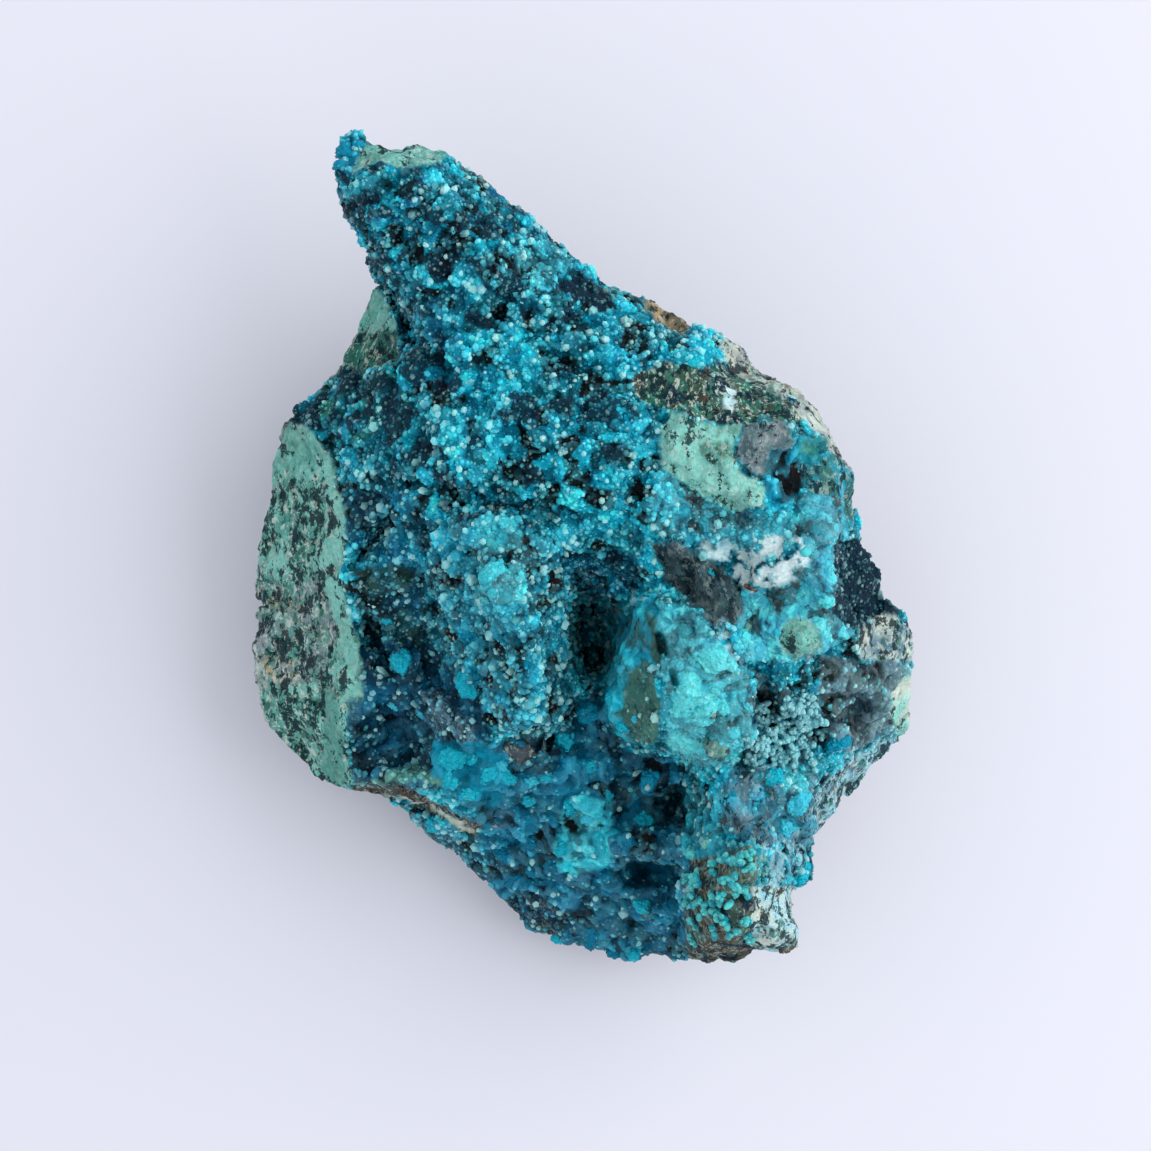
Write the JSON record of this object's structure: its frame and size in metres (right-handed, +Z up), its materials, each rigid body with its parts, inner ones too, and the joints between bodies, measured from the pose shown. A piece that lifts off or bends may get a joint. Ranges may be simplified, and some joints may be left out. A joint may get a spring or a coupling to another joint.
{
  "type": "chrysocolla mineral specimen",
  "caption": "Lump of broken rock with a drusy blue-green chrysocolla top, a projecting horn, an open hollow with nodules, and a flat broken foot.",
  "frame": {"origin": "middle of the bounding box on the plane of the flat foot", "axes": "+Z up from the foot to the druse, +Y along the length towards the horn, +X to the right seen from above with the horn at the top"},
  "size_m": [0.0674, 0.0839, 0.0439],
  "materials": {
    "chrysocolla_rock": "turquoise to navy druse and smooth nodules, with mint-green bands and grey and brown broken rock"
  },
  "bodies": {
    "root": {"chrysocolla_rock": "chrysocolla_rock"}
  },
  "joints": []
}
